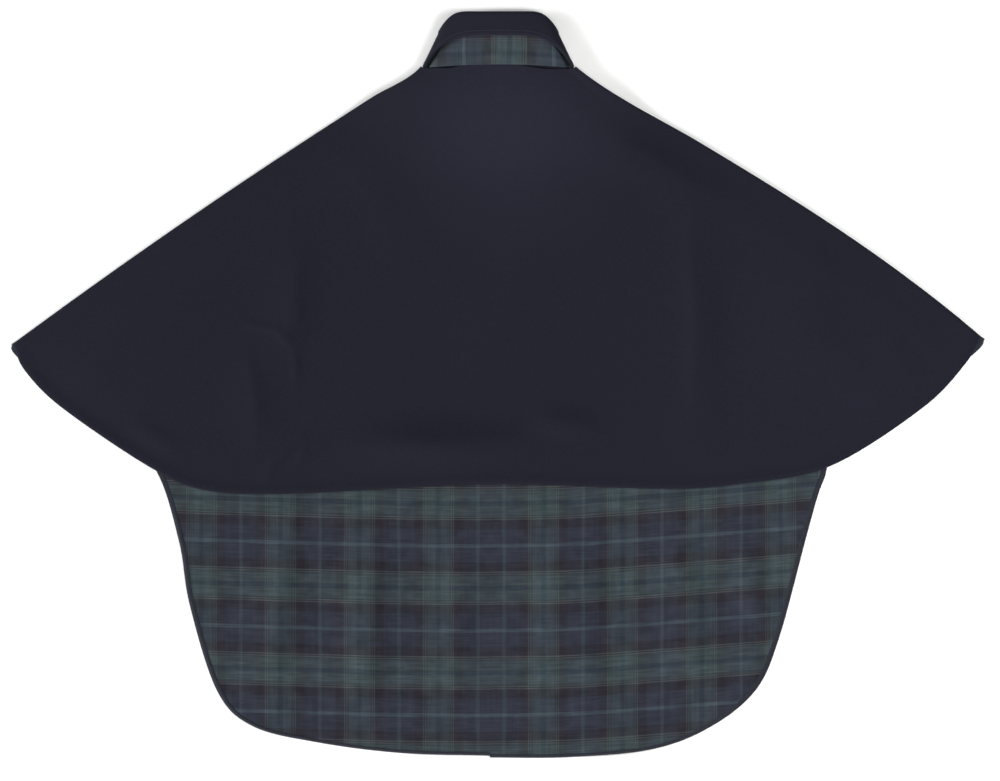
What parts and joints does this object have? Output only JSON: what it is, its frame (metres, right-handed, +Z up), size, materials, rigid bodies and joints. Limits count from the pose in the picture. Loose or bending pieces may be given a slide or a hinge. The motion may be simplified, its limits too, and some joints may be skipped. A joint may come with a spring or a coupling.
{
  "type": "cape",
  "caption": "Cape lying flat with its back up: a short plain back over two longer, tartan-lined fronts with bound edges, and a folded collar.",
  "frame": {"origin": "on the surface the cape lies on, under the middle of its outline", "axes": "+X to the right as seen from above, +Y from the hem to the collar, +Z up"},
  "size_m": [1.364, 1.0446, 0.0228],
  "materials": {
    "navy_cloth": "matt navy wool cloth",
    "navy_binding": "matt navy woven binding",
    "tartan_lining": "dark green, navy and black tartan, slightly lustrous"
  },
  "bodies": {
    "root": {"back": "navy_cloth", "front_left": "navy_cloth", "front_right": "navy_cloth", "front_lining_left": "tartan_lining", "front_lining_right": "tartan_lining", "front_binding_left": "navy_binding", "front_binding_right": "navy_binding", "collar_upper": "navy_cloth", "collar_under": "tartan_lining"}
  },
  "joints": []
}
